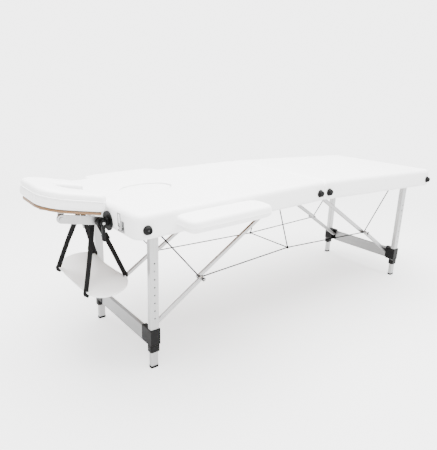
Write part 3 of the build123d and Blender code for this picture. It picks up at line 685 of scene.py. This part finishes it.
def head_cutters(half):
    """Shapes of the breathing hole and of the post sockets."""
    low, high = local_box("breath_hole_plug", half)
    gap, depth = 0.5 * MM, 60 * MM
    hole_x = (high.x - low.x) / 2 + gap
    hole_y = (high.y - low.y) / 2 + gap
    at = half @ Matrix.Translation(((low.x + high.x) / 2, 0, low.z + 2 * MM))
    hole = [(hole_y, 0), (hole_y, depth)]
    cutters = [lathe("hole", hole, "white_vinyl", at, 64, hole_x / hole_y)]
    bore = [(BUSH_R, -BORE_REACH), (BUSH_R, BORE_REACH)]
    posts_low, posts_high = local_box("cradle_posts", half)
    post_z = (posts_low.z + posts_high.z) / 2
    post_y = posts_high.y - (posts_high.z - posts_low.z) / 2
    end_x = local_box("head_cover", half)[1].x
    bush_high = local_box("socket_bushes", half)[1]
    armrest_z = bush_high.z - BUSH_R
    places = [((end_x, way * post_y, post_z), "Y") for way in (-1, 1)]
    places += [
        ((x, way * bush_high.y, armrest_z), "X") for x in armrest_post_xs(half) for way in (-1, 1)
    ]
    for place, axis in places:
        at = half @ Matrix.Translation(place) @ Matrix.Rotation(pi / 2, 4, axis)
        cutters.append(lathe("bore", bore, "white_vinyl", at, 24))
    return cutters


def armrest_post_xs(half):
    """Where the armrest posts enter the head half, from the ends of their bushes."""
    points = [half.inverted() @ v.co for v in frame["nodes"]["socket_bushes"].data.vertices]
    beside_face_rest = 300 * MM
    side = [p.x for p in points if abs(p.y) > beside_face_rest]
    middle = (min(side) + max(side)) / 2
    near = [x for x in side if x < middle]
    far = [x for x in side if x > middle]
    return ((min(near) + max(near)) / 2, (min(far) + max(far)) / 2)


def breathing_plug():
    """Oval plug of the breathing hole, with the lining of the hole and a bead round it."""
    half = HALF["head"]
    low, high = local_box("breath_hole_plug", half)
    ratio = (high.x - low.x) / (high.y - low.y)
    radius = (high.y - low.y) / 2
    at = half @ Matrix.Translation(((low.x + high.x) / 2, 0, 0))
    crown, gap = 3 * MM, 0.6 * MM
    profile = rounded(radius - gap, low.z, high.z - 1.5 * MM, 7 * MM)[:-1]
    rim, top = profile[-1]
    profile += [(rim * k, top + crown * (1 - k**2)) for k in (0.85, 0.6, 0.3, 0.01)]
    made = lathe("breath_plug_pad", profile, "white_vinyl", at, 72, ratio)
    settle(made, "breath_plug", "white_vinyl", "breath_hole_plug")
    edge = radius + 0.8 * MM
    path = [(edge * cos(a) * ratio, edge * sin(a), high.z - 0.8 * MM) for a in circle(96)]
    bead = tube("hole_rim", path, 1.2 * MM, "white_vinyl", at, True)
    settle(bead, "head_half", "white_vinyl")
    wall_r = radius + 0.7 * MM
    wall = [(wall_r, low.z + 6 * MM), (wall_r, high.z - 1 * MM)]
    lining = lathe("hole_lining", wall, "white_vinyl", at, 72, ratio, caps=False)
    thicken(lining, 0.6 * MM, 1)
    settle(lining, "head_half", "white_vinyl")


def armrests():
    """Armrest pads, each with its base board and a piped seam round its sides."""
    half = HALF["head"]
    corners = (ARMREST_CORNER, ARMREST_CORNER)
    for hand in HANDS:
        name = f"armrest_{hand}"
        low, high = local_box(f"armrest_pad_{hand}", half)
        centre = (low + high) / 2
        at = half @ Matrix.Translation((centre.x, centre.y, 0))
        size = (high.x - low.x - 2 * MM, high.y - low.y - 2 * MM)
        board_low = local_box(f"armrest_board_{hand}", half)[0].z
        bottom, top = board_low - 0.6 * MM, high.z + 1 * MM
        made = pad(
            f"{name}_pad", size, (bottom, top), corners, ARMREST_EDGE, PAD_CROWN, 1.5 * MM, at,
            closed=True, spacing=9 * MM,
        )
        settle(made, name, "white_vinyl", f"armrest_pad_{hand}")
        inset = ARMREST_BOARD_INSET
        plan = outline((size[0] - 2 * inset, size[1] - 2 * inset), ARMREST_CORNER - inset)
        board = plate(f"{name}_base", plan, (bottom - 1.4 * MM, bottom + 2 * MM), "plywood", at)
        settle(board, name, "plywood", f"armrest_board_{hand}")
        seam_z = bottom + 0.42 * (top - bottom)
        grown = (size[0] + 2 * PIPING_GROW, size[1] + 2 * PIPING_GROW)
        path = [(x, y, seam_z) for x, y in outline(grown, ARMREST_CORNER + PIPING_GROW)]
        piping = tube(f"{name}_piping", path, PIPING_R, "white_vinyl", at, True)
        settle(piping, name, "white_vinyl")


# ---- face pillow ----------------------------------------------------------------------------
def arc_points(centre, radius, start, end, count):
    """Points on an arc, angles in degrees."""
    angles = np.radians(np.linspace(start, end, count))
    return [Vector((centre[0] + radius * cos(a), centre[1] + radius * sin(a))) for a in angles]


def spaced(path, count):
    """The path again, with evenly spaced points."""
    lengths = [0.0]
    for a, b in zip(path, path[1:]):
        lengths.append(lengths[-1] + (b - a).length)
    made = []
    for goal in np.linspace(0, lengths[-1], count):
        k = min(int(np.searchsorted(lengths, goal, side="right")) - 1, len(path) - 2)
        share = (goal - lengths[k]) / max(lengths[k + 1] - lengths[k], 1e-9)
        made.append(path[k].lerp(path[k + 1], share))
    return made


def pillow_edges(start, end, half_width, arm_steps, turn_steps):
    """Matching points along the inner and the outer edge of the horseshoe, from end to end."""

    def whole(half_y, turn):
        """An arm in, the turn, and the other arm back."""
        arm_in = spaced([Vector((start, half_y)), Vector((FACE_X, half_y))], arm_steps)[:-1]
        arm_out = spaced([Vector((FACE_X, -half_y)), Vector((start, -half_y))], arm_steps)[1:]
        return arm_in + turn + arm_out

    corner_x, corner_y = end - PILLOW_CORNER, half_width - PILLOW_CORNER
    bend = [Vector((FACE_X, half_width))]
    bend += arc_points((corner_x, corner_y), PILLOW_CORNER, 90, 0, 16)
    bend += arc_points((corner_x, -corner_y), PILLOW_CORNER, 0, -90, 16)
    bend += [Vector((FACE_X, -half_width))]
    inner = whole(FACE_HALF, arc_points((FACE_X, 0), FACE_HALF, 90, -90, turn_steps))
    return inner, whole(half_width, spaced(bend, turn_steps))


def face_pillow():
    """Horseshoe pillow: soft arms round the face opening, with a piped seam."""
    low, high = local_box("face_pillow", CRADLE)
    inner, outer = pillow_edges(low.x, high.x, (high.y - low.y) / 2, 12, 44)
    bottom, top = low.z, high.z + 2 * MM
    half_height = (top - bottom) / 2
    seam_z = bottom + 0.6 * (top - bottom)
    rings, seam_out, seam_in = [], [], []
    for a, b in zip(inner, outer):
        near_tip = min((a.x - low.x) / PILLOW_TIP, 1.0)
        full = max(sqrt(max(1 - (1 - near_tip) ** 2, 0.0)), 0.02)
        wide, tall = 0.5 + 0.5 * full, 0.55 + 0.45 * full
        mid, reach = (a + b) / 2, (b - a) / 2
        ring = []
        for t in circle(40):
            across = abs(cos(t)) ** 0.4 * (1 if cos(t) > 0 else -1)
            up = abs(sin(t)) ** 0.42 * (1 if sin(t) > 0 else -1)
            point = mid + reach * across * wide
            ring.append((point.x, point.y, bottom + half_height + up * half_height * tall))
        rings.append(ring)
        to_seam = reach * wide * (1 + PIPING_GROW / reach.length)
        seam_out.append((*(mid + to_seam), seam_z))
        seam_in.append((*(mid - to_seam), seam_z))
    made = sweep("face_pillow_pad", rings, "white_vinyl", CRADLE)
    smooth = made.modifiers.new("smooth", "SUBSURF")
    smooth.levels = 1
    smooth.render_levels = 1
    apply_modifiers(made)
    made.data.shade_smooth()
    settle(made, "cradle_platform", "white_vinyl", "face_pillow")
    path = seam_out + list(reversed(seam_in))
    piping = tube("face_pillow_piping", path, PIPING_R, "white_vinyl", CRADLE, True, 8)
    settle(piping, "cradle_platform", "white_vinyl")


# ---- arm sling ------------------------------------------------------------------------------
def ribbon(name, path, across, thick=STRAP_THICK):
    """Flat strap along points, its width along one direction."""
    path = [Vector(p) for p in path]
    across = Vector(across).normalized()
    rings = []
    for k, point in enumerate(path):
        along = (path[min(k + 1, len(path) - 1)] - path[max(k - 1, 0)]).normalized()
        level = (across - along * across.dot(along)).normalized() * STRAP_WIDTH / 2
        up = along.cross(level).normalized() * thick / 2
        rings.append([point - level - up, point + level - up, point + level + up, point - level + up])
    made = sweep(name, rings, "webbing")
    made.data.shade_flat()
    return made


def sling_point(u, v, box):
    """Point of the sling: u runs from its outer to its inner edge, v from one rounded end to the other.

    It sags between its edges, more in the middle than at the straps, and narrows in its ends.
    """
    low, high = box
    outer_x, inner_x = low.x + SLING_EDGE, high.x - SLING_EDGE
    outer_z, inner_z = low.z + SLING_EDGE, high.z - SLING_EDGE
    half_width = (high.y - low.y) / 2
    end_start = STRAP_LOW_Y / half_width
    beyond = max(abs(v) - end_start, 0.0) / (1 - end_start)
    shrink = 1 - 0.97 * (1 - sqrt(max(1 - beyond**2, 0.0)))
    u = 0.5 + (u - 0.5) * shrink
    sag = SLING_SAG * sin(pi * min(max(u, 0.0), 1.0)) ** 0.8 * (1 - 0.6 * beyond)
    across = min(abs(v) / end_start, 1.0)
    sag += SLING_BELLY * (1 - across**2) * (0.6 + 0.4 * u)
    crease = SLING_CREASE * noise.noise((u * 4, v * 3, 0.3))
    x = outer_x + (inner_x - outer_x) * u
    z = outer_z + (inner_z - outer_z) * u - sag + crease
    return Vector((x, v * half_width, z))


def sling_panel():
    """Sagging vinyl panel with rounded ends and a bound edge.

    Its flat length and width are measured on this shape, since the real cut isn't known, but nothing uses them.
    """
    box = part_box("arm_sling")
    columns, rows = 27, 61
    vs = [sin(pi / 2 * (2 * r / (rows - 1) - 1)) for r in range(rows)]
    points = [sling_point(c / (columns - 1), v, box) for v in vs for c in range(columns)]
    # the panel takes the white vinyl darkened as painted shade
    made = piece("arm_sling_panel", points, grid_faces(rows, columns), "shade_darkened_sling_vinyl")
    thicken(made, SLING_THICK, 0)
    made.data.shade_smooth()
    settle(made, "cradle_mount", "white_vinyl", "arm_sling")
    rim = [points[k] for k in grid_rim(rows, columns)]
    hem = tube("arm_sling_hem", rim, HEM_R, "shade_darkened_sling_vinyl", None, True, 8)
    settle(hem, "cradle_mount", "white_vinyl")
    length = path_length([sling_point(u, 0, box) for u in np.linspace(0, 1, 20)])
    width = path_length([sling_point(0.5, v, box) for v in np.linspace(-1, 1, 40)])


def strap_buckle(at):
    """Three-bar slide buckle."""
    half_thick, half_bar = 2.2 * MM, 1.7 * MM
    half_width, half_height = 13 * MM, 13.5 * MM
    parts = []
    for z in (-12 * MM, 0, 12 * MM):
        low, high = (-half_width, -half_thick, z - half_bar), (half_width, half_thick, z + half_bar)
        parts.append(block("bar", low, high, "black_plastic", at))
    for x in (-12.5 * MM, 12.5 * MM):
        low, high = (x - half_bar, -half_thick, -half_height), (x + half_bar, half_thick, half_height)
        parts.append(block("rail", low, high, "black_plastic", at))
    return parts


def moved(point, x, z):
    """The point moved by x and z."""
    return point + Vector((x, 0, z))


def edge_hook(end, way):
    """Path of a strap's end, which wraps the sling's edge and lies under the panel."""
    under = moved(end, -way * 0.5 * MM, -7 * MM)
    return [
        moved(end, 0, 6 * MM),
        moved(end, -way * 1.5 * MM, -3 * MM),
        under,
        moved(under, way * 5 * MM, -3 * MM),
        moved(under, way * 12 * MM, -9 * MM),
    ]


def rod_loop(hand):
    """Path of the webbing round the cradle's cross rod."""
    reach = ROD_R + STRAP_THICK
    middle = Vector((KNUCKLE.x, hand * STRAP_TOP_Y, KNUCKLE.z))
    turn = np.linspace(-0.35 * pi, 1.35 * pi, 17)
    return [moved(middle, reach * cos(a), reach * sin(a)) for a in turn]


def sling_straps():
    """Webbing straps from loops on the cradle rod to the sling's corners, with slide buckles."""
    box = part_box("arm_sling")
    half_width = (box[1].y - box[0].y) / 2
    steps = 12
    straps, tabs, buckles = [], [], []
    for hand in HANDS.values():
        turned = Vector((0.96, -0.2 * hand, 0))
        bow = Vector((0, hand * STRAP_BOW, 0))
        for u, way in ((0.0, 1), (1.0, -1)):
            end = moved(sling_point(u, hand * STRAP_LOW_Y / half_width, box), -way * 4 * MM, 2 * MM)
            top = Vector((KNUCKLE.x, hand * STRAP_TOP_Y, KNUCKLE.z))
            start = moved(top, -way * STRAP_SPREAD / 2, -ROD_R - 1 * MM)
            path = [start.lerp(end, k / steps) + bow * sin(pi * k / steps) for k in range(steps + 1)]
            straps.append(ribbon("strap", path, turned))
            spare = [p + Vector((0, hand * -3 * MM, 0)) for p in path[1:6]]
            straps.append(ribbon("spare", spare, turned, 1.6 * MM))
            tabs.append(ribbon("tab", edge_hook(end, way), turned))
            if way < 0:
                along = (end - start).normalized()
                buckle_x = turned - along * turned.dot(along)
                buckles += strap_buckle(frame_of(start.lerp(end, 0.3) + bow * 0.8, buckle_x, along))
        straps.append(ribbon("loop", rod_loop(hand), (0, 1, 0)))
    settle(joined("sling_webbing", straps), "cradle_mount", "webbing", "sling_straps")
    settle(joined("sling_tabs", tabs), "cradle_mount", "webbing")
    settle(joined("sling_buckles", buckles), "cradle_mount", "black_plastic")


# ---- bracing cables -------------------------------------------------------------------------
def cable_end(point, along, gap):
    """Crimped ferrule at the end of a cable, and the eye beyond it. `along` points up the cable."""
    inner = point - along * FERRULE_LAP
    outer = point + along * (FERRULE_LENGTH - FERRULE_LAP)
    eye = [point - along * gap + Vector((EYE_R * cos(a), 0, EYE_R * sin(a))) for a in circle(24)]
    return [
        tube("ferrule", [inner, outer], FERRULE_R, "black_plastic"),
        tube("eye", eye, EYE_WIRE_R, "cable", None, True, 8),
    ]


def knee_place(name, hand_name):
    """X and Z of a knee's axis, from the low end of its upper brace."""
    low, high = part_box(f"upper_brace_{name}_{hand_name}")
    x = high.x - KNEE_EDGE if SIDES[name] > 0 else low.x + KNEE_EDGE
    return x, low.z + KNEE_EDGE


def half_cables(name, joins):
    """Cables of a half, from leg pivot to knee to join."""
    pivot = Vector(JOINTS[f"{name}_leg_fold"]["pos_m"])
    knee_x, knee_z = knee_place(name, "left")
    parts = []
    for hand, join in zip(HANDS.values(), joins):
        top = Vector((pivot.x, hand * CABLE_Y, pivot.z))
        knee = Vector((knee_x, hand * CABLE_Y, knee_z))
        down, across = (knee - top).normalized(), (join - knee).normalized()
        first, last = top + down * EYE_GAP, knee - down * EYE_GAP
        parts.append(tube("wire", [first, last], CABLE_R, "cable", sides=8))
        parts += cable_end(first, down, EYE_GAP) + cable_end(last, -down, EYE_GAP)
        first, last = knee + across * EYE_GAP, join - across * JOIN_GAP
        parts.append(tube("wire", [first, last], CABLE_R, "cable", sides=8))
        parts += cable_end(first, across, EYE_GAP)
    made = joined(f"{name}_brace_cables", parts)
    settle(made, f"{name}_half", "cable", f"{name}_cables")
    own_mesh(made)


def cables():
    """Bracing cables: those of the two halves, and those that cross and hang from the fold."""
    joins = [Vector((FOLD.x, hand * JOIN_Y, JOIN_Z)) for hand in HANDS.values()]
    for name in SIDES:
        half_cables(name, joins)
    clamp = rounded(CLAMP_R, 0, 2 * CLAMP_HALF, CLAMP_HALF / 2)
    parts = [tube("wire", joins, CABLE_R, "cable", sides=8)]
    for hand, join in zip(HANDS.values(), joins):
        anchor = Vector((FOLD.x - ANCHOR_BACK, hand * ANCHOR_Y, ANCHOR_Z))
        parts.append(tube("wire", [join, anchor], CABLE_R, "cable", sides=8))
        at = Matrix.Translation((join.x, join.y, join.z - CLAMP_HALF))
        parts.append(lathe("clamp", clamp, "black_plastic", at, 20))
    settle(joined("fold_brace_cables", parts), "fold_pins", "cable", "fold_cables")


# ---- bumpers, bolts and height holes --------------------------------------------------------
def facing(point, direction):
    """Frame whose z points along a direction."""
    return frame_of(point, Vector(direction).orthogonal(), direction)


def screw_head(name, at, radius, material="steel"):
    """Domed screw head with a cross recess."""
    made = lathe(name, rounded(radius, -1 * MM, 1.6 * MM, 0.9 * MM, 0.3 * MM), material, at, 24)
    reach, half_wide = 0.62 * radius, 0.12 * radius
    for turn in (0, pi / 2):
        low, high = (-reach, -half_wide, 0.9 * MM), (reach, half_wide, 3 * MM)
        slot_at = at @ Matrix.Rotation(turn, 4, "Z")
        cut(made, [block("slot", low, high, material, slot_at, 0.1 * MM)])
    return made


def bumper_profile(radius, proud):
    """Half section of a bumper: a flange, a cone, a rounded tip and the well of its screw."""
    tip, well, well_floor = radius * 0.74, 5.4 * MM, proud - 6 * MM
    return [
        (radius * 0.9, -1 * MM),
        (radius, 0.5 * MM),
        (radius, 3 * MM),
        (radius * 0.93, 4.5 * MM),
        (tip, proud - 2.5 * MM),
        (tip - 0.8 * MM, proud - 0.7 * MM),
        (tip - 2.5 * MM, proud),
        (7 * MM, proud),
        (5.8 * MM, proud - 1 * MM),
        (well, well_floor),
        (0.5 * MM, well_floor),
    ]


def bumpers():
    """Conical rubber bumpers with a screw sunk in the middle."""
    for name in SIDES:
        half = HALF[name]
        low, high = local_box(f"{name}_bumpers", half)
        radius = (high.z - low.z) / 2
        proud = high.y - low.y
        rubber, screws = [], []
        for x in (low.x + radius, high.x - radius):
            foot = half @ Vector((x, 0, (high.z + low.z) / 2))
            foot.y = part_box(f"{name}_bumpers")[1].y
            at = facing(foot, (0, -1, 0))
            rubber.append(lathe("bumper", bumper_profile(radius, proud), "black_rubber", at, 40))
            screw_at = at @ Matrix.Translation((0, 0, proud - 5.5 * MM))
            # the screws take the steel darkened as painted shade of their wells
            screws.append(screw_head("screw", screw_at, 4.6 * MM, "shaded_screw_steel"))
        settle(joined(f"{name}_rubber_bumpers", rubber), f"{name}_half", "black_rubber", f"{name}_bumpers")
        settle(joined(f"{name}_bumper_screws", screws), f"{name}_half", "steel")


def knee_bolt(name, hand_name, side):
    """Cap and bolt head on the outer side of a knee."""
    label = f"{name}_{hand_name}"
    corners = [*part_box(f"lower_brace_{label}"), *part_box(f"upper_brace_{label}")]
    outer_y = side * max(abs(corner.y) for corner in corners)
    x, z = knee_place(name, hand_name)
    at = facing(Vector((x, outer_y, z)), (0, side, 0))
    profile = rounded(KNEE_CAP_R, -1 * MM, KNEE_CAP_PROUD, 1.2 * MM)
    cap = lathe(f"knee_washer_{label}", profile, "black_plastic", at, 28)
    settle(cap, f"lower_brace_{label}", "black_plastic")
    bolt_at = at @ Matrix.Translation((0, 0, KNEE_CAP_PROUD))
    settle(screw_head(f"knee_bolt_{label}", bolt_at, 5 * MM), f"lower_brace_{label}", "steel")


def legs_and_knees():
    """Thin black discs just inside the legs' faces, painted shade standing for the dark insides of the height
    holes, and the bolts at the knees.
    """
    half_thick = 0.3 * MM
    disc = [(LEG_HOLE_R, -half_thick), (LEG_HOLE_R, half_thick)]
    for name in SIDES:
        low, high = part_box(f"{name}_legs")
        discs = []
        for hand_name in HANDS:
            button_low, button_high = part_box(f"height_button_{name}_{hand_name}")
            button = (button_low + button_high) / 2
            side = 1 if button.y > 0 else -1
            face_y = (high.y if side > 0 else low.y) - side * LEG_HOLE_DEPTH
            for k in range(LEG_HOLE_COUNT):
                height = (1 - k) * LEG_HOLE_PITCH
                if height:  # the button fills its own hole
                    # painted shade: a black disc in place of each hole's dark inside
                    at = facing(Vector((button.x, face_y, button.z + height)), (0, side, 0))
                    discs.append(lathe("hole", disc, "black_plastic", at, 20))
            knee_bolt(name, hand_name, side)
        settle(joined(f"{name}_leg_hole_shade_discs", discs), f"{name}_leg_pair", "black_plastic")


def finish_cad_nodes():
    """Slot materials on the CAD nodes that stay, with small bevels on what is square."""
    slots = {row["node"]: row["material_slot"] for row in frame["record"]["subparts"]}
    # the crossbars take the aluminium darkened as painted shade
    own_looks = {
        "cradle_board": "cradle_plywood",
        "head_crossbar": "shade_darkened_crossbar_aluminium",
        "foot_crossbar": "shade_darkened_crossbar_aluminium",
    }
    bevels = {"brackets": 2.2, "crossbar": 1.2, "rails": 1.5, "rubber": 1.5, "lever": 2.0, "board": 1.2}
    for name, node in frame["nodes"].items():
        node.data.materials.clear()
        node.data.materials.append(MATERIALS[own_looks.get(name, slots[name])])
        for word, width in bevels.items():
            if word in name:
                soften(node, width * MM)


# ---- camera, floor and light ----------------------------------------------------------------
def camera():
    """Camera beside the head end, a little above the table and looking down its length."""
    yaw, pitch, roll = radians(51.449), radians(16.83), radians(1.941)
    back, aside, height = 1.5803, 1.5667, 1.0393  # from the fold
    data = bpy.data.cameras.new("camera")
    data.sensor_width = 36
    data.lens = 35.92
    made = bpy.data.objects.new("camera", data)
    bpy.context.scene.collection.objects.link(made)
    ahead = Vector((cos(pitch) * cos(yaw), cos(pitch) * sin(yaw), -sin(pitch)))
    level = Vector((sin(yaw), -cos(yaw), 0))
    up = level.cross(ahead)
    right = level * cos(roll) + up * sin(roll)
    upward = up * cos(roll) - level * sin(roll)
    view = Matrix((right, upward, -ahead)).transposed().to_4x4()
    view.translation = (FOLD.x - back, -aside, height)
    made.matrix_world = view
    bpy.context.scene.camera = made


def surround():
    """Even world: the camera sees it brighter than it lights."""
    world = bpy.data.worlds.new("surround")
    world.use_nodes = True
    tree = world.node_tree
    light = tree.nodes["Background"]
    light.inputs["Color"].default_value = (*grey(AMBIENT), 1)
    seen = tree.nodes.new("ShaderNodeBackground")
    seen.inputs["Color"].default_value = (*grey(SURROUND), 1)
    rays = tree.nodes.new("ShaderNodeLightPath")
    choice = tree.nodes.new("ShaderNodeMixShader")
    tree.links.new(rays.outputs["Is Camera Ray"], choice.inputs["Fac"])
    tree.links.new(light.outputs["Background"], choice.inputs[1])
    tree.links.new(seen.outputs["Background"], choice.inputs[2])
    tree.links.new(choice.outputs["Shader"], tree.nodes["World Output"].inputs["Surface"])
    bpy.context.scene.world = world


def floor():
    """Pale floor that takes the shadows near the table, lifted there by painted light: near the table about a
    third of its colour is emission as bright as the surround, and further off the emission takes over and runs out
    into the surround.
    """
    made, tree, principled = shader("floor", grey(0.8), 0.9, Specular_IOR_Level=0.0)
    # painted light: emission as bright as the surround, mixed about a third into the floor near the table, lifts
    # the table's shadows
    painted_light_glow = tree.nodes.new("ShaderNodeEmission")
    painted_light_glow.inputs["Color"].default_value = (*grey(SURROUND), 1)
    mix = tree.nodes.new("ShaderNodeMixShader")
    place = tree.nodes.new("ShaderNodeTexCoord")
    distance = tree.nodes.new("ShaderNodeVectorMath")
    distance.operation = "LENGTH"
    fade = tree.nodes.new("ShaderNodeMapRange")
    fade.interpolation_type = "SMOOTHERSTEP"
    fade.inputs["From Min"].default_value = 1.0
    fade.inputs["From Max"].default_value = 4.5
    fade.inputs["To Min"].default_value = 0.35
    tree.links.new(place.outputs["Object"], distance.inputs[0])
    tree.links.new(distance.outputs["Value"], fade.inputs["Value"])
    tree.links.new(fade.outputs["Result"], mix.inputs["Fac"])
    tree.links.new(principled.outputs["BSDF"], mix.inputs[1])
    tree.links.new(painted_light_glow.outputs["Emission"], mix.inputs[2])
    tree.links.new(mix.outputs["Shader"], tree.nodes["Material Output"].inputs["Surface"])
    MATERIALS["floor"] = made
    reach = 60
    corners = [(-reach, -reach, 0), (reach, -reach, 0), (reach, reach, 0), (-reach, reach, 0)]
    piece("floor", corners, [(0, 1, 2, 3)], "floor")


def lamps():
    """Wide soft lamps, each named with its place, width and power."""
    aim = Vector((0, 0, 0.4))
    lights = {
        "top": ((0.1, 0.3, 4.6), 5.0, 1450),
        "key": ((-1.2, -2.4, 4.2), 3.0, 200),
        "fill": ((2.8, -1.8, 3.4), 2.8, 50),
        "back": ((0.5, 3.0, 3.4), 2.8, 60),
    }
    for name, (place, width, power) in lights.items():
        data = bpy.data.lights.new(name, "AREA")
        data.size = width
        data.energy = power
        lamp = bpy.data.objects.new(name, data)
        bpy.context.scene.collection.objects.link(lamp)
        lamp.location = place
        lamp.rotation_mode = "QUATERNION"
        lamp.rotation_quaternion = (aim - Vector(place)).to_track_quat("-Z", "Y")


camera()
surround()
floor()
lamps()
finish_cad_nodes()
table_pads()
breathing_plug()
armrests()
face_pillow()
sling_straps()
sling_panel()
cables()
bumpers()
legs_and_knees()
